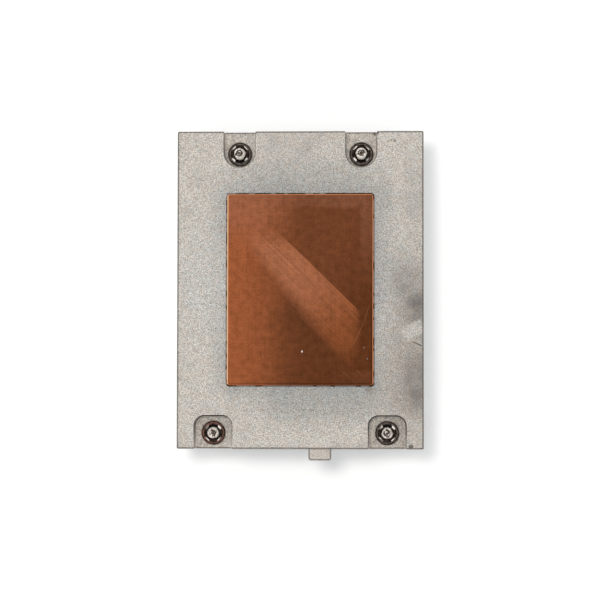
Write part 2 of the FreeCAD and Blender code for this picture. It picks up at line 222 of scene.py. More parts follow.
class Wire:
    """A value on its way between the nodes of a board. Sums on it add Math nodes."""

    def __init__(self, board, socket):
        self.board = board
        self.socket = socket

    def maths(self, operation, *values):
        inputs = dict(enumerate((self, *values)))
        return self.board.node("ShaderNodeMath", {"operation": operation}, inputs)

    def __add__(self, other):
        return self.maths("ADD", other)

    def __sub__(self, other):
        return self.maths("SUBTRACT", other)

    def __mul__(self, other):
        return self.maths("MULTIPLY", other)

    def __truediv__(self, other):
        return self.maths("DIVIDE", other)

    def __rsub__(self, other):
        return self.board.node("ShaderNodeMath", {"operation": "SUBTRACT"}, {0: other, 1: self})

    def __abs__(self):
        return self.maths("ABSOLUTE")

    __radd__ = __add__
    __rmul__ = __mul__

    def most(self, other):
        return self.maths("MAXIMUM", other)

    def least(self, other):
        return self.maths("MINIMUM", other)

    def ease(self, start, end):
        """0 before start, 1 past end, and a smooth rise between them."""
        settings = {"interpolation_type": "SMOOTHSTEP"}
        return self.board.node("ShaderNodeMapRange", settings, {0: self, 1: start, 2: end})

    def about(self, middle, half, soft):
        """1 within half of the middle, fading to 0 over the soft distance."""
        return 1 - abs(self - middle).ease(half, half + soft)


class Board:
    """A tree of nodes, and the one way in which nodes and wires are added to it."""

    def __init__(self, tree):
        self.tree = tree

    def node(self, kind, settings, inputs, output=0):
        """Adds a node: its settings first, then the values and wires of its sockets."""
        added = self.tree.nodes.new(kind)
        for name, setting in settings.items():
            setattr(added, name, setting)
        for name, value in inputs.items():
            if isinstance(value, Wire):
                self.connect(value, added.inputs[name])
            else:
                added.inputs[name].default_value = value
        return Wire(self, added.outputs[output])

    def connect(self, wire, socket):
        self.tree.links.new(wire.socket, socket)


class Finish(Board):
    """A material whose colour, roughness and bump are worked out in the piece's millimetres."""

    def __init__(self, name, metallic, roughness):
        self.material = bpy.data.materials.new(name)
        self.material.use_nodes = True
        super().__init__(self.material.node_tree)
        self.shader = self.tree.nodes["Principled BSDF"]
        self.shader.inputs["Metallic"].default_value = metallic
        self.shader.inputs["Roughness"].default_value = roughness
        where = self.node("ShaderNodeTexCoord", {}, {}, "Object")
        self.place = self.node("ShaderNodeMapping", {}, {"Vector": where, "Scale": (1000,) * 3})
        self.x = self.node("ShaderNodeSeparateXYZ", {}, {"Vector": self.place}, "X")
        self.y = self.node("ShaderNodeSeparateXYZ", {}, {"Vector": self.place}, "Y")
        self.z = self.node("ShaderNodeSeparateXYZ", {}, {"Vector": self.place}, "Z")

    def blend(self, amount, first, second):
        """A colour between two."""
        inputs = {0: amount, 6: first, 7: second}
        return self.node("ShaderNodeMix", {"data_type": "RGBA"}, inputs, 2)

    def tint(self, amount, colour, by):
        """The colour multiplied by another, as far as the amount says."""
        settings = {"data_type": "RGBA", "blend_type": "MULTIPLY"}
        return self.node("ShaderNodeMix", settings, {0: amount, 6: colour, 7: by}, 2)

    def grey(self, value):
        """A value as a colour."""
        return self.node("ShaderNodeCombineColor", {}, {0: value, 1: value, 2: value})

    def cloud(self, size, detail, stretch=(1, 1, 1), turn=0):
        """Noise from 0 to 1 whose patches are about this many millimetres wide."""
        angles = (0, 0, math.radians(turn))
        aligned = self.node("ShaderNodeMapping", {}, {"Vector": self.place, "Rotation": angles})
        scale = tuple(1 / (size * s) for s in stretch)
        spread = self.node("ShaderNodeMapping", {}, {"Vector": aligned, "Scale": scale})
        inputs = {"Vector": spread, "Scale": 1, "Detail": detail}
        return self.node("ShaderNodeTexNoise", {}, inputs)

    def patch(self, x, y, half_width, half_length, soft):
        """1 inside an ellipse about a point, fading to 0 round it."""
        across = (self.x - x) / half_width
        along = (self.y - y) / half_length
        far = (across * across + along * along).maths("SQRT")
        return 1 - far.ease(1 - soft / 2, 1 + soft / 2)

    def line(self, x, y, end_x, end_y, width):
        """1 on a straight scratch between two points."""
        length = math.hypot(end_x - x, end_y - y)
        along = ((self.x - x) * (end_x - x) + (self.y - y) * (end_y - y)) / length
        off = abs((self.x - x) * (y - end_y) + (self.y - y) * (end_x - x)) / length
        ends = along.ease(-0.5, 1) * (1 - along.ease(length - 1, length + 0.5))
        return ends * (1 - off.ease(width / 2, width))

    def box_edge(self, x, y, width, length, corner):
        """How far a point is outside a rounded rectangle or its mirror twin, and below 0 inside."""
        across = abs(abs(self.x) - x) - (width / 2 - corner)
        along = abs(self.y - y) - (length / 2 - corner)
        out_x, out_y = across.most(0), along.most(0)
        outside = (out_x * out_x + out_y * out_y).maths("SQRT")
        return outside + across.most(along).least(0) - corner

    def paint(self, colour, roughness=None, height=None, depth=0.0):
        """Wires the finish into the shader. The height's depth is in millimetres."""
        self.connect(colour, self.shader.inputs["Base Color"])
        if roughness:
            self.connect(roughness, self.shader.inputs["Roughness"])
        if height:
            inputs = {"Height": height, "Distance": depth / 1000, "Strength": 1.0}
            self.connect(self.node("ShaderNodeBump", {}, inputs), self.shader.inputs["Normal"])


def shade(red, green, blue):
    """A colour from screen values of 0 to 255, as the shader wants it."""
    return (*[((c / 255 + 0.055) / 1.055) ** 2.4 for c in (red, green, blue)], 1)


def strongest(mark, rows):
    """The highest of several patches or lines. Each row ends with that one's strength."""
    return reduce(Wire.most, (mark(*row) * strength for *row, strength in rows))


casting = made("cast_base", block(CAST_WIDTH, CAST_LENGTH, BACK, FACE, CAST_CORNER))
tab = block(TAB_SIDE, TAB_SIDE, TAB_BACK, TAB_FACE, TAB_CORNER)
carve(casting, [move(tab, TAB_X, TAB_Y)], "UNION")
window_width, window_length = PLATE_WIDTH + 2 * WINDOW_GAP, PLATE_LENGTH + 2 * WINDOW_GAP
tools = [block(window_width, window_length, PLATE_BACK, FACE + TOOL_RISE, WINDOW_CORNER)]
for x, y in CORNERS.values():
    if y > 0:
        tools.append(recess(UPPER_RECESS_WIDTH, UPPER_RECESS_CORNER, x, UPPER_RECESS_Y))
    else:
        tools.append(recess(LOWER_RECESS_WIDTH, LOWER_RECESS_CORNER, x, LOWER_RECESS_Y))
    tools.append(move(peg(HOLE_RADIUS, BACK - 1, 0), x, y))
    tools.append(move(peg(SPRING_BORE, BACK - 1, SPRING_SEAT), x, y))
for number, high_end in enumerate(PIPE_HIGH_ENDS):
    ends = PIPE_LOW_END - GROOVE_GAP, high_end + GROOVE_GAP
    groove = tapered(GROOVE_WIDTH, GROOVE_NOSE, *ends, GROOVE_TAPER, BACK - 1, GROOVE_ROOF)
    tools.append(move(groove, PIPE_SPACING * (number - 1.5), 0))
carve(casting, tools)
cleaned = bmesh.new()
cleaned.from_mesh(casting.data)
bmesh.ops.remove_doubles(cleaned, verts=cleaned.verts, dist=0.001)
bmesh.ops.dissolve_limit(
    cleaned,
    angle_limit=math.radians(1),
    verts=cleaned.verts,
    edges=cleaned.edges,
    use_dissolve_boundaries=False,
)
round_off(cleaned, sharp(cleaned, TAB_BACK - 0.1, FACE + 1, 50), BLASTED_EDGE)
cleaned.to_mesh(casting.data)
cleaned.free()

blasted = Finish("blasted_cast_aluminium", 0.35, 0.6)
grit = blasted.cloud(0.42, 3)
grain = blasted.cloud(1.2, 2)
hue = blasted.cloud(2.4, 4)
blotch = blasted.cloud(7, 3)
flow = blasted.cloud(24, 2, (1, 2, 1))
on_face = blasted.z.ease(FACE - 0.5, FACE - 0.3)

# Its tone is bluish round the plate and warm towards the rim.
from_plate = blasted.box_edge(0, 0, PLATE_WIDTH, PLATE_LENGTH, 2)
low_left = (1 - blasted.x.ease(-31, -25)) * (1 - blasted.y.ease(12, 28))
from_plate = from_plate + (flow - 0.5) * 16 + (blotch - 0.5) * 6 + low_left * 5
cast = blasted.blend(from_plate.ease(-5, 13), shade(161, 161, 159), shade(202, 195, 186))
cold_spots = [(-37, 3, 12, 17, 1.4, 1), (35, 1, 10, 15, 1.4, 1)]
cold = strongest(blasted.patch, cold_spots)
cast = blasted.tint(cold, cast, (0.975, 1.005, 1.035, 1))

# Handling has dulled the right side and the bands above and below the plate.
worn_side = blasted.x.ease(24, 42) * (1 - blasted.y.ease(3, 27))
worn_lower = (1 - blasted.y.ease(-40, 0)) * 0.3
worn_less = (1 - blasted.y.ease(-54, -42)) * 0.6
worn_side = worn_side * (0.6 + worn_lower - worn_less)
cast = blasted.blend(worn_side, cast, shade(164, 156, 147))
over_plate = (1 - blasted.y.ease(47, 54)) * blasted.y.ease(34, 37)
over_plate = over_plate * (1 - abs(blasted.x - 3).ease(16, 34))
under_plate = blasted.y.ease(-56, -46) * (1 - blasted.y.ease(-38, -34))
under_plate = under_plate * (1 - abs(blasted.x - 8).ease(12, 30))
dulled = (over_plate * 0.4).most(under_plate * 0.6)
cast = blasted.blend(dulled, cast, shade(160, 159, 155))
faint_stain = blotch.ease(0.5, 0.7) * flow.ease(0.4, 0.6) * 0.3
cast = blasted.blend(faint_stain, cast, shade(160, 153, 144))

# Smudges: x, y, half the width and length, softness and strength.
smudges = [
    (45.3, -6, 4.4, 8, 1.4, 1),
    (41, 2, 5, 7, 1.7, 0.5),
    (44.6, -35, 4, 9.5, 1.5, 0.9),
    (28.5, -36, 3, 8, 1.6, 0.25),
    (26.5, -38.3, 1.8, 0.9, 1, 0.7),
    (44.5, 36, 4.5, 14, 1.4, 0.35),
    (-3, 56, 15, 6, 1.6, 0.25),
]
dirt = (0.45 + blotch.ease(0.35, 0.65) * 0.6) * (0.85 + (grain - 0.5) * 1.8 + (grit - 0.5) * 1.6)
dirt = strongest(blasted.patch, smudges) * dirt * on_face
cast = blasted.blend(dirt.least(1), cast, shade(122, 116, 111))

# Scratches: from x, y to x, y, width and strength. The first, broad one is rubbed bright.
rub = blasted.line(39.5, -17.5, 47.5, -13.5, 3.4)
cast = blasted.blend(rub * on_face * 0.8, cast, shade(200, 194, 186))
scores = [
    (43, -19.9, 47.3, -21.8, 0.35, 0.8),
    (0.4, -46.1, 2.3, -46.1, 0.4, 0.4),
    (3.3, -46.1, 5.3, -46.3, 0.4, 0.4),
]
scored = strongest(blasted.line, scores) * on_face
cast = blasted.blend(scored, cast, shade(96, 88, 80))

# The recesses: a warmer floor, a painted highlight on the lip at the upper ones' right, and painted
# shade along the walls.
upper_wall = blasted.box_edge(UPPER_X, UPPER_RECESS_Y, UPPER_RECESS_WIDTH, RECESS_LENGTH, 6)
lower_wall = blasted.box_edge(LOWER_X, LOWER_RECESS_Y, LOWER_RECESS_WIDTH, RECESS_LENGTH, 4)
recess_edge = upper_wall.least(lower_wall)
screw_x = LOWER_X - (LOWER_X - UPPER_X) * blasted.y.maths("GREATER_THAN", 0)
right_of_screw = (blasted.x - blasted.x.maths("SIGN") * screw_x).ease(-3, 5)
sunk = (1 - recess_edge.ease(-0.7, -0.3)) * blasted.z.ease(RECESS_FLOOR - 0.3, RECESS_FLOOR - 0.1)
cast = blasted.blend(sunk * 0.25, cast, shade(178, 167, 154))
# A painted highlight on the lip at the upper recesses' right.
lip_highlight = recess_edge.about(0.3, 0.1, 0.2) * right_of_screw * blasted.y.ease(0, 1)
cast = blasted.blend(lip_highlight * on_face * 0.5, cast, shade(222, 216, 208))
# Painted shade along the walls, mostly at their root.
closed_end = blasted.y.ease(-60, -48) * 1.25 - 0.15
wall_shade_strength = 0.45 + right_of_screw * 0.25 + (1 - blasted.y.ease(-1, 0)) * closed_end
shaded_wall = recess_edge.about(-0.05, 0.1, 0.22) * wall_shade_strength * (0.5 + blotch)
outline = blasted.box_edge(0, 0, CAST_WIDTH, CAST_LENGTH, CAST_CORNER)
root = blasted.z.about(RECESS_FLOOR + 0.3, 0.32, 0.15) * (1 - outline.ease(-0.3, -0.1))
up_the_wall = blasted.z.ease(RECESS_FLOOR, RECESS_FLOOR + 0.3) * 0.25
shaded_wall = shaded_wall * root.most(on_face).most(up_the_wall)
cast = blasted.blend(shaded_wall.least(1), cast, shade(64, 56, 50))

# Painted shade as dark lines round the rounded rim and the tab's step, then small marks with the
# same columns as the smudges.
on_floor = sunk * blasted.z.about(RECESS_FLOOR, 0.12, 0.1)
on_top = on_face.most(on_floor)
rim = outline.about(-0.28, 0.2, 0.22) * on_top
tab_step_shade = blasted.box_edge(TAB_X, TAB_Y, TAB_SIDE, TAB_SIDE, TAB_CORNER).about(-0.2, 0.22, 0.22)
on_tab = blasted.z.about(TAB_FACE, 0.12, 0.1) * (1 - blasted.y.ease(-61.4, -61.2))
cast = blasted.blend(rim.most(tab_step_shade * on_tab) * 0.8, cast, shade(100, 94, 85))
marks = [
    (29.2, 60.6, 1.1, 0.9, 0.4, 0.9),
    (42.6, -60.2, 0.9, 0.8, 0.6, 0.9),
    (33.8, 57.3, 0.3, 0.3, 0.6, 0.72),
    (35.0, 57.7, 0.3, 0.3, 0.6, 0.72),
    (36.4, 57.5, 0.45, 0.45, 0.6, 0.72),
]
marked = strongest(blasted.patch, marks) * on_top
cast = blasted.blend(marked, cast, shade(92, 86, 78))

# The blasted grain, stronger where the light grazes it, with a little colour of its own.
speckle = (grit - 0.5) * (1.5 + on_top * 1.1) + (grain - 0.5) * 0.5 + 0.99
cast = blasted.tint(1.0, cast, blasted.grey(speckle))
pinkish, bluish = (1.025, 0.996, 0.98, 1), (0.98, 1.0, 1.02, 1)
cast = blasted.tint(1.0, cast, blasted.blend(hue.ease(0.4, 0.6), pinkish, bluish))
blasted.paint(cast, 0.5 + grit * 0.2, grit + grain * 0.5, 0.06)
hand_over(casting, blasted, "base", "cast_base", "base_casting")

# The contact plate is machined copper, let into the casting. It has tarnished brown, and a worn
# band of fresh scratches runs across it from upper left to lower right.

PLATE_EDGE = 0.35

plate = block(PLATE_WIDTH, PLATE_LENGTH, PLATE_BACK, 0, PLATE_CORNER)
face_edges = [e for e in plate.edges if all(v.co.z > -0.01 for v in e.verts)]
round_off(plate, face_edges, PLATE_EDGE)
plate = made("copper_plate", plate)
copper = Finish("tarnished_copper", 1.0, 0.38)
haze = copper.cloud(14, 3)
mottle = copper.cloud(2.6, 3)
speck = copper.cloud(0.5, 3)
brushed = copper.cloud(0.7, 2, (1, 30, 1))
cross = copper.cloud(0.7, 2, (30, 1, 1))
rubbed = copper.cloud(0.6, 3, (60, 1, 1), 44.5)
plate_edge = copper.box_edge(0, 0, PLATE_WIDTH, PLATE_LENGTH, PLATE_CORNER)

# Painted light: brighter at the left and upper left corner, where the lamp's sheen falls, and
# darker to the right and below. The margins are a lighter tarnish.
hazy_x = copper.x + (haze - 0.5) * 8
metal = copper.blend(hazy_x.ease(-27, 3), shade(158, 89, 54), shade(115, 66, 40))
away_from_sheen = copper.x - copper.y * 0.5
metal = copper.blend(away_from_sheen.ease(2, 38), metal, shade(93, 51, 28))
sheen_corner = (1 - (copper.x + 20).ease(0, 22)) * (copper.y - 14).ease(0, 18)
metal = copper.blend(sheen_corner * 0.7, metal, shade(163, 101, 72))
hazy_margin = (plate_edge + (haze - 0.5) * 3).ease(-6, -4)
top_right = (copper.x * 0.5 + copper.y).ease(8, 50)
low_edge = (1 - copper.y.ease(-32, -30)) * copper.x.ease(10, 22) * 0.5
margins = hazy_margin * top_right.most(low_edge)
metal = copper.blend(margins * 0.45, metal, shade(142, 92, 68))

# The worn band lies between two slanting lines, and a dark strip follows it below.
above = copper.x * 0.697 + copper.y * 0.717 - 10.0
below = copper.x * -0.771 + copper.y * -0.637 - 3.8
down_band = copper.x * 0.717 - copper.y * 0.697
beside = (1 - (below - 2).ease(0, 12)) * below.ease(0, 3) * down_band.ease(-6, 8)
metal = copper.blend(beside * 0.8, metal, shade(98, 58, 36))
low_middle = (copper.x + (haze - 0.5) * 6).ease(-15, -3) * (1 - copper.y.ease(-16, 0))
metal = copper.blend(low_middle * 0.5, metal, shade(100, 56, 32))
ragged = (rubbed - 0.5) * 2.2
start = (down_band - (above + 7).most(0) * 1.3 + ragged * 2).ease(-34, -17)
reach = start * (1 - (copper.x + ragged * 2).ease(19.5, 24))
reach = reach * (1 - (down_band + ragged * 2).ease(24, 38))
band = (1 - (above + ragged * 0.6).ease(-0.5, 0.4)) * (1 - (below + ragged * 1.6).ease(-3, 3.5))
band = band * reach
fresh = copper.blend((down_band + 8).ease(0, 34), shade(170, 106, 74), shade(140, 79, 46))
metal = copper.blend(band * 0.9, metal, fresh)
streaks = above.about(-0.3, 0.05, 0.22).most(above.about(-1.2, 0.05, 0.25) * 0.8)
streaks = streaks.most(above.about(-3.0, 0.1, 0.4) * 0.5)
streaks = streaks * down_band.ease(-23, -13) * (1 - copper.x.ease(20.5, 23.5))
metal = copper.blend(streaks * (0.2 + rubbed * 0.6), metal, shade(182, 112, 74))
furrow = above.about(-0.75, 0.1, 0.3) * down_band.ease(-18, -4) * (1 - copper.x.ease(20, 23))
metal = copper.blend(furrow * 0.25, metal, shade(104, 52, 26))

# Single scratches and bright nicks, with the columns of the casting's scores and smudges.
scratches = [
    (24.4, -12.9, 20.4, -21.5, 0.16, 0.5),
    (26.6, -6, 24.7, -12.2, 0.14, 0.35),
    (21.5, -30.5, 24.5, -33.6, 0.16, 0.3),
    (-19.5, 18.5, -9, 8.5, 0.2, 0.3),
    (14.5, -30, 23, -37, 0.14, 0.2),
]
metal = copper.blend(strongest(copper.line, scratches), metal, shade(168, 106, 72))
nicks = [
    (0.8, -23.8, 0.24, 0.42, 0.6, 1),
    (24.6, -22.3, 0.22, 0.22, 0.8, 0.25),
    (25.9, -26.6, 0.22, 0.22, 0.8, 0.25),
]
metal = copper.blend(strongest(copper.patch, nicks), metal, shade(235, 228, 220))

# The machined grain, then the rounded edge: a painted highlight at its rim, brightest at the left
# and none at the bottom, and painted shade just inside it towards the lower right.
texture = 1 + (brushed - 0.5) * 0.3 + (cross - 0.5) * 0.2
texture = texture + (mottle - 0.5) * 0.8 + (speck - 0.5) * 0.9
metal = copper.tint(1.0, metal, copper.grey(texture))
metal = copper.tint(band, metal, copper.grey(1 + (rubbed - 0.5) * 0.9))
lit_left_side = 1 - copper.x.ease(-28.1, -27.2)
rim_highlight = (plate_edge + lit_left_side * 0.22).ease(-0.42, -0.28) * copper.y.ease(-36.8, -36)
rim_highlight_colour = copper.blend(lit_left_side, shade(208, 134, 88), shade(250, 196, 148))
metal = copper.blend(rim_highlight, metal, rim_highlight_colour)
shade_inside_rim = plate_edge.about(-0.75, 0.12, 0.25) * (copper.x * 0.7 - copper.y).ease(0, 40)
metal = copper.blend(shade_inside_rim * 0.7, metal, shade(72, 38, 20))
copper.paint(metal, 0.34 + haze * 0.12, brushed + cross + rubbed * band * 2, 0.006)
hand_over(plate, copper, "base", "copper", "contact_plate")

# The plate is soldered into its window. The solder stands a little below the face, grey where it
# fills the gap, and painted near black as shade in the open gap where it has sunk away.

SOLDER_TOP, SOLDER_BACK = -0.65, -3.4
SOLDER_GAP = 0.05

seam = block(
    window_width - SOLDER_GAP, window_length - SOLDER_GAP, SOLDER_BACK, SOLDER_TOP, WINDOW_CORNER
)
seam = made("solder_seam", seam)
seam_hole = block(PLATE_WIDTH + SOLDER_GAP, PLATE_LENGTH + SOLDER_GAP, -5, 2, PLATE_CORNER)
carve(seam, [seam_hole])
solder = Finish("solder", 0.9, 0.4)
filled = (solder.cloud(3.6, 2) + 0.07 - solder.y.ease(35, 37) * 0.09).ease(0.5, 0.54)
solder.paint(solder.blend(filled, shade(13, 11, 11), shade(150, 150, 150)), 0.3 + filled * 0.2)
hand_over(seam, solder, "base", "cast_base")

# Four heat pipes, drawn copper tube pressed flat, lie in the grooves in the casting's back. They
# are soldered in under the fins, so only their flat side shows between them.


def dress(node, finish, radius=0, steps=2):
    """Gives a solid its finish, and rounds its sharp edges."""
    piece = nodes[node]
    piece.data.materials.clear()
    piece.data.materials.append(finish.material)
    if radius:
        weld = piece.modifiers.new("weld", "WELD")
        weld.merge_threshold = 1e-6
        flat = piece.modifiers.new("flat", "DECIMATE")
        flat.decimate_type = "DISSOLVE"
        flat.angle_limit = math.radians(1)
        bevel = piece.modifiers.new("rounding", "BEVEL")
        bevel.width = radius / 1000
        bevel.segments = steps
        bevel.limit_method = "ANGLE"
        bevel.angle_limit = math.radians(30)
        bevel.use_clamp_overlap = False


tube = Finish("pipe_copper", 1.0, 0.35)
tube.paint(tube.blend(tube.cloud(6, 2), shade(196, 128, 92), shade(172, 106, 74)))
for pipe in range(1, 5):
    dress(f"heat_pipe_{pipe}", tube)

# The fins are stamped from thin aluminium strip, folded over at both edges and locked into each
# other with tongues, then soldered to the casting as one pack.

FIN_EDGE = 0.12

strip = Finish("rolled_aluminium", 0.85, 0.32)
rolling = strip.cloud(0.3, 2, (1, 90, 1))
dullness = strip.cloud(9, 2)
sheet = strip.blend(dullness, shade(206, 206, 205), shade(188, 189, 190))
sheet = strip.tint(1.0, sheet, strip.grey(0.9 + rolling * 0.2))
strip.paint(sheet, 0.26 + dullness * 0.12, rolling, 0.01)
for node in nodes:
    if node.startswith("fin_"):
        dress(node, strip, FIN_EDGE)

# Each screw is nickel-plated steel: a domed tip with a lathe dimple, an M4 thread, a groove for
# its clip, a shank and shoulder that slide in the casting, and a flanged six-lobe head.

STEPS_PER_TURN = 36
PITCH = 0.7
THREAD_ROOT, THREAD_CREST = 1.55, 2.0
THREAD_LOW, TIP = -2.55, 1.45
THREAD_TURNS = 7
CLIP_GROOVE_RADIUS, CLIP_GROOVE_LOW = 1.6, -3.25
SHANK_RADIUS, SHOULDER_RADIUS, SHOULDER_TOP = 2.3, 2.9, -9.73
FLANGE_RADIUS, FLANGE_TOP, FLANGE_LOW = 4.2, -16.2, -17.2
HEAD_RADIUS, HEAD_END = 3.2, -19.2
SOCKET_RADIUS, SOCKET_LOBES, SOCKET_WAVE = 1.66, 6, 0.17
SOCKET_DEPTH, SOCKET_CONE = 1.5, 0.3


def spin(shape, geometry, angle, steps, rise=0, use_merge=False):
    """Sweeps a section about the vertical axis, rising as it goes."""
    bmesh.ops.spin(
        shape,
        geom=geometry,
        cent=(0, 0, 0),
        axis=(0, 0, 1),
        dvec=(0, 0, rise / steps),
        angle=angle,
        steps=steps,
        use_merge=use_merge,
    )
    bmesh.ops.remove_doubles(shape, verts=shape.verts, dist=1e-4)
    bmesh.ops.recalc_face_normals(shape, faces=shape.faces)


def turned(profile):
    """A solid of revolution about the vertical axis, from its radii and heights."""
    shape = bmesh.new()
    points = [shape.verts.new((r, 0, z)) for r, z in profile]
    lines = [shape.edges.new(pair) for pair in zip(points, points[1:])]
    spin(shape, points + lines, 2 * math.pi, ROUND, use_merge=True)
    return shape


def join(shape, other):
    """Adds another mesh to a mesh."""
    mesh = bpy.data.meshes.new("part")
    other.to_mesh(mesh)
    other.free()
    shape.from_mesh(mesh)
    bpy.data.meshes.remove(mesh)


def slice_off(shape, height, above):
    """Cuts a mesh off flat at a height, above it or below it, and closes the cut."""
    cut = bmesh.ops.bisect_plane(
        shape,
        geom=shape.verts[:] + shape.edges[:] + shape.faces[:],
        plane_co=(0, 0, height),
        plane_no=(0, 0, 1),
        clear_outer=above,
        clear_inner=not above,
    )
    rim = [e for e in cut["geom_cut"] if isinstance(e, bmesh.types.BMEdge)]
    bmesh.ops.edgeloop_fill(shape, edges=rim)


def thread():
    """The screw's helical ridge, chamfered at the tip."""
    ridge = bmesh.new()
    low = THREAD_LOW - PITCH
    inside, tip_radius, least = 1.4, 1.45, 1.3
    section = [(inside, low), (THREAD_ROOT, low + 0.02), (THREAD_CREST, low + 0.3)]
    section += [(THREAD_CREST, low + 0.38), (THREAD_ROOT, low + 0.66), (inside, low + 0.68)]
    face = ridge.faces.new([ridge.verts.new((r, 0, z)) for r, z in section])
    full = 2 * math.pi * THREAD_TURNS
    spin(ridge, [face], full, STEPS_PER_TURN * THREAD_TURNS, PITCH * THREAD_TURNS)
    for point in ridge.verts:
        most = max(tip_radius + TIP - point.co.z, least)
        if point.co.xy.length > most:
            point.co.xy *= most / point.co.xy.length
    slice_off(ridge, TIP - 0.06, True)
    slice_off(ridge, THREAD_LOW + 0.05 * PITCH, False)
    return ridge


def stem():
    """The screw without its thread, turned from the dimple in its tip to the end of its head."""
    return turned(
        [
            (0, TIP - 0.42),
            (0.42, TIP - 0.2),
            (0.5, TIP - 0.03),
            (0.62, TIP),
            (0.92, TIP),
            (1.0, TIP - 0.1),
            (1.12, TIP - 0.1),
            (1.2, TIP),
            (1.38, TIP - 0.03),
            (THREAD_ROOT, TIP - 0.25),
            (THREAD_ROOT, THREAD_LOW + 0.3),
            (1.9, THREAD_LOW + 0.05),
            (1.9, THREAD_LOW),
            (CLIP_GROOVE_RADIUS, THREAD_LOW),
            (CLIP_GROOVE_RADIUS, CLIP_GROOVE_LOW),
            (SHANK_RADIUS - 0.1, CLIP_GROOVE_LOW),
            (SHANK_RADIUS, CLIP_GROOVE_LOW - 0.1),
            (SHANK_RADIUS, SHOULDER_TOP + 0.1),
            (SHANK_RADIUS + 0.1, SHOULDER_TOP),
            (SHOULDER_RADIUS - 0.1, SHOULDER_TOP),
            (SHOULDER_RADIUS, SHOULDER_TOP - 0.1),
            (SHOULDER_RADIUS, FLANGE_TOP + 0.1),
            (SHOULDER_RADIUS + 0.1, FLANGE_TOP),
            (FLANGE_RADIUS - 0.15, FLANGE_TOP),
            (FLANGE_RADIUS, FLANGE_TOP - 0.15),
            (FLANGE_RADIUS, FLANGE_LOW + 0.15),
            (FLANGE_RADIUS - 0.15, FLANGE_LOW),
            (HEAD_RADIUS + 0.15, FLANGE_LOW),
            (HEAD_RADIUS, FLANGE_LOW - 0.15),
            (HEAD_RADIUS, HEAD_END + 0.3),
            (HEAD_RADIUS - 0.09, HEAD_END + 0.09),
            (HEAD_RADIUS - 0.3, HEAD_END),
            (SOCKET_RADIUS + 0.59, HEAD_END),
        ]
    )


def screw():
    """The whole screw about its own axis, with a six-lobed socket sunk into its head."""
    shape = stem()
    rim = [e for e in shape.edges if e.is_boundary]
    lobes = bmesh.ops.create_circle(shape, segments=ROUND, radius=SOCKET_RADIUS)["verts"]
    for point in lobes:
        angle = math.atan2(point.co.y, point.co.x)
        point.co *= 1 + SOCKET_WAVE * math.cos(SOCKET_LOBES * angle)
    bmesh.ops.translate(shape, vec=(0, 0, HEAD_END + 0.1), verts=lobes)
    mouth = [e for e in shape.edges if e.is_wire]
    bmesh.ops.bridge_loops(shape, edges=rim + mouth)
    walls = bmesh.ops.extrude_edge_only(shape, edges=mouth)["geom"]
    foot_points = [v for v in walls if isinstance(v, bmesh.types.BMVert)]
    bmesh.ops.translate(shape, vec=(0, 0, SOCKET_DEPTH), verts=foot_points)
    foot_edges = [e for e in walls if isinstance(e, bmesh.types.BMEdge)]
    floor = bmesh.ops.edgeloop_fill(shape, edges=foot_edges)["faces"]
    middle = bmesh.ops.poke(shape, faces=floor)["verts"]
    bmesh.ops.translate(shape, vec=(0, 0, SOCKET_CONE), verts=middle)
    bmesh.ops.recalc_face_normals(shape, faces=shape.faces)
    join(shape, thread())
    return shape


def beside_screw(finish):
    """How far a point is from its screw's axis across the base, and away from the middle."""
    upper = finish.y.maths("GREATER_THAN", 0)
    across = abs(finish.x) - (LOWER_X - (LOWER_X - UPPER_X) * upper)
    away = abs(finish.y) - (-LOWER_Y - (-LOWER_Y - UPPER_Y) * upper)
    return across, away


def from_axis(finish):
    """How far a point is from its screw's axis."""
    across, away = beside_screw(finish)
    return (across * across + away * away).maths("SQRT")


nickel = Finish("nickel_plated_steel", 1.0, 0.2)
clouded = nickel.cloud(0.9, 3)
off_centre = from_axis(nickel)
plating = nickel.blend(clouded, shade(212, 205, 196), shade(186, 178, 168))
worn_tip = nickel.blend(clouded.ease(0.44, 0.6), shade(250, 240, 230), shade(132, 116, 104))
plating = nickel.blend(nickel.z.ease(0.7, 1.1), plating, worn_tip)
in_dimple, in_ring = off_centre.about(0, 0.5, 0.3), off_centre.about(1.06, 0.18, 0.16)
grime = in_dimple.most(in_ring) * clouded.ease(0.3, 0.48) * nickel.z.ease(0.8, 1.0)
plating = nickel.blend(grime * 0.9, plating, shade(44, 34, 28))
# Painted shade darkens the floor of the six-lobe socket.
socket_shade = nickel.z.about(-18.05, 0.75, 0.2) * (1 - off_centre.ease(1.95, 2.05))
plating = nickel.blend(socket_shade * 0.85, plating, shade(52, 46, 42))
nickel.paint(plating, 0.16 + clouded * 0.2)
for corner, (x, y) in CORNERS.items():
    shape = screw()
    if y < 0:
        half_turn = Matrix.Rotation(math.pi, 3, "Z")
        bmesh.ops.rotate(shape, cent=(0, 0, 0), matrix=half_turn, verts=shape.verts)
    piece = made(f"captive_screw_{corner}", move(shape, x, y))
    hand_over(piece, nickel, f"screw_{corner}", "screw_steel", f"screw_{corner}", crease=32)

# Each spring is wound from round steel wire, with its end coils closed and ground flat. It
# presses the screw's head away from the casting, and shortens as the screw is pushed in.

SPRING_FOOT = FLANGE_TOP
WIRE = 0.9
COIL_RADIUS = 3.65
CLOSED_RISE = WIRE + 0.01
GROUND = 0.1
OPEN_TURNS = 4


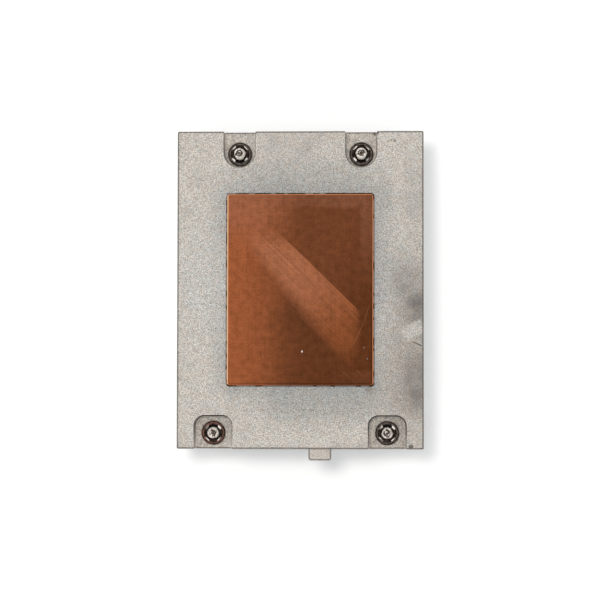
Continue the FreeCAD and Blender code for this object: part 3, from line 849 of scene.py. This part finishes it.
def coil():
    """One spring about its own axis: a closed coil, the open ones and a closed coil."""
    shape = bmesh.new()
    bmesh.ops.create_circle(shape, cap_ends=True, segments=12, radius=WIRE / 2)
    upright = Matrix.Rotation(math.pi / 2, 3, "X")
    bmesh.ops.rotate(shape, cent=(0, 0, 0), matrix=upright, verts=shape.verts)
    move(shape, COIL_RADIUS, 0, SPRING_FOOT + GROUND)
    open_rise = SPRING_SEAT - SPRING_FOOT - 2 * GROUND - 2 * CLOSED_RISE
    end = shape.faces[:]
    ends = []
    for turns, rise in ((1, CLOSED_RISE), (OPEN_TURNS, open_rise), (1, CLOSED_RISE)):
        ends += end
        steps = STEPS_PER_TURN * turns
        swept = bmesh.ops.spin(
            shape,
            geom=end,
            cent=(0, 0, 0),
            axis=(0, 0, 1),
            dvec=(0, 0, rise / steps),
            angle=2 * math.pi * turns,
            steps=steps,
        )
        end = [f for f in swept["geom_last"] if isinstance(f, bmesh.types.BMFace)]
    bmesh.ops.delete(shape, geom=ends[1:], context="FACES_ONLY")
    slice_off(shape, SPRING_SEAT, True)
    slice_off(shape, SPRING_FOOT, False)
    bmesh.ops.recalc_face_normals(shape, faces=shape.faces)
    return shape


wire = Finish("spring_wire", 1.0, 0.28)
drawn = wire.cloud(1.5, 2)
wire.paint(wire.blend(drawn, shade(172, 170, 168), shade(140, 138, 136)), 0.2 + drawn * 0.15)
for corner, (x, y) in CORNERS.items():
    piece = made(f"coil_spring_{corner}", move(coil(), x, y))
    hand_over(piece, wire, "base", "spring_steel", f"spring_{corner}", crease=40)
    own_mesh(piece)

# A browned steel washer lies on the floor of each recess, and a dark spring-steel clip snapped
# into the screw's groove holds the screw, with its mouth towards the middle of the base.

WASHER_EDGE, CLIP_EDGE = 0.12, 0.1

brown = Finish("browned_steel", 0.9, 0.35)
age = brown.cloud(1.1, 3)
off_axis = from_axis(brown)
away = beside_screw(brown)[1]
lower_left = (1 - brown.x.ease(-5, 5)) * (1 - brown.y.ease(-5, 5))
browning = brown.blend(lower_left, shade(78, 70, 64), shade(104, 68, 58))
browning = brown.tint(1.0, browning, brown.grey(0.15 + age.ease(0.3, 0.72) * 1.8))
# Darker towards the outer edge, a painted highlight as a faint bright ring, and painted shade, near
# black, under the clip's mouth.
browning = brown.blend(off_axis.ease(4.0, 4.35) * 0.7, browning, shade(38, 30, 27))
browning = brown.blend(off_axis.about(3.85, 0.05, 0.2) * 0.3, browning, shade(140, 122, 112))
shade_under_mouth = (1 - off_axis.ease(3.15, 3.5)) * (1 - away.ease(-1.7, -1.2))
browning = brown.blend(shade_under_mouth, browning, shade(14, 11, 10))
brown.paint(browning, 0.28 + age * 0.2)

clip_steel = Finish("clip_steel", 1.0, 0.22)
film = clip_steel.cloud(1.2, 3)
uneven = clip_steel.cloud(2.6, 1)
across, away = beside_screw(clip_steel)
flats = (abs(across) + abs(away)) * math.sqrt(0.5)
beside_flat = abs(abs(across) - abs(away)) * math.sqrt(0.5)
at_mouth = 1 - away.ease(-2, 0)
glints = flats.about(3.3, 0.12, 0.12).most(flats.about(3.2, 0.3, 0.12) * at_mouth)
glints = glints * beside_flat.about(0, 0.85, 0.25) * (0.25 + uneven.ease(0.42, 0.58))
dark = clip_steel.blend(film.ease(0.35, 0.65), shade(60, 50, 44), shade(28, 22, 19))
clip_steel.paint(clip_steel.blend(glints, dark, shade(240, 232, 222)), 0.16 + film * 0.15)
for corner in CORNERS:
    dress(f"washer_{corner}", brown, WASHER_EDGE)
    dress(f"clip_{corner}", clip_steel, CLIP_EDGE, 3)

# The part lies on its fins on a white table. The table glows a little to the camera alone, so
# that it is white to its edge and still keeps the part's soft shadow.

# Sizes from here on are in metres.
TABLE_DROP = 0.00002
TABLE_GLOW = 0.2

table = bmesh.new()
bmesh.ops.create_grid(table, x_segments=1, y_segments=1, size=3)
move(table, 0, 0, solid_box[0][2] - TABLE_DROP)
table = made("table", table)
paper = Finish("white_table", 0.0, 0.9)
paper.shader.inputs["Base Color"].default_value = (0.96, 0.96, 0.96, 1)
seen = paper.node("ShaderNodeLightPath", {}, {}, "Is Camera Ray")
glow = paper.node("ShaderNodeEmission", {}, {"Color": (1, 1, 1, 1), "Strength": TABLE_GLOW})
unlit = paper.node("ShaderNodeEmission", {}, {"Strength": 0.0})
glow = paper.node("ShaderNodeMixShader", {}, {0: seen, 1: unlit, 2: glow})
lit = Wire(paper, paper.shader.outputs[0])
lit = paper.node("ShaderNodeAddShader", {}, {0: lit, 1: glow})
paper.connect(lit, paper.tree.nodes["Material Output"].inputs["Surface"])
table.data.materials.append(paper.material)

# The room is white: bright to the camera and in reflections, dimmer as light on the part. One
# broad, slightly warm lamp hangs overhead, a little to the upper left.

ROOM_LIGHT = 0.62
LAMP_PLACE = (-0.19, 0.17, 1.1)

world = bpy.data.worlds.new("studio")
bpy.context.scene.world = world
world.use_nodes = True
studio = Board(world.node_tree)
background = world.node_tree.nodes["Background"]
background.inputs["Color"].default_value = (0.975, 0.99, 1, 1)
seen = studio.node("ShaderNodeLightPath", {}, {}, "Is Camera Ray")
mirrored = studio.node("ShaderNodeLightPath", {}, {}, "Is Glossy Ray")
brightness = seen.most(mirrored) * (1 - ROOM_LIGHT) + ROOM_LIGHT
studio.connect(brightness, background.inputs["Strength"])

lamp_data = bpy.data.lights.new("softbox", "AREA")
lamp_data.shape = "SQUARE"
lamp_data.size = 0.3
lamp_data.energy = 5.2
lamp_data.color = (1, 0.985, 0.955)
lamp = bpy.data.objects.new("softbox", lamp_data)
bpy.context.collection.objects.link(lamp)
lamp.location = LAMP_PLACE
lamp.visible_glossy = False
lamp.rotation_euler = (-lamp.location).to_track_quat("-Z", "Y").to_euler()

# The camera looks down from 0.8 m, tilted a little over 2 degrees both ways, as in the photo.
# The picture's side and the focal length are in pixels, and the turns in degrees.

CAMERA_HEIGHT = 0.8
PICTURE_SIDE, FOCAL_LENGTH = 600, 2080
TURN_Z, TURN_X, TURN_Y = -0.09, -2.16, -2.46
SHIFT = (0.00001, 0.00399, 0)

camera_data = bpy.data.cameras.new("camera")
camera_data.sensor_width = 36
camera_data.lens = camera_data.sensor_width * FOCAL_LENGTH / PICTURE_SIDE
camera_data.clip_start = 0.01
camera = bpy.data.objects.new("camera", camera_data)
bpy.context.collection.objects.link(camera)
turn = Matrix.Translation(SHIFT)
for degrees, axis in ((TURN_Y, "Y"), (TURN_X, "X"), (TURN_Z, "Z")):
    turn = Matrix.Rotation(math.radians(degrees), 4, axis) @ turn
camera.matrix_world = turn.inverted() @ Matrix.Translation((0, 0, CAMERA_HEIGHT))
bpy.context.scene.camera = camera
bpy.context.scene.view_settings.view_transform = "Standard"
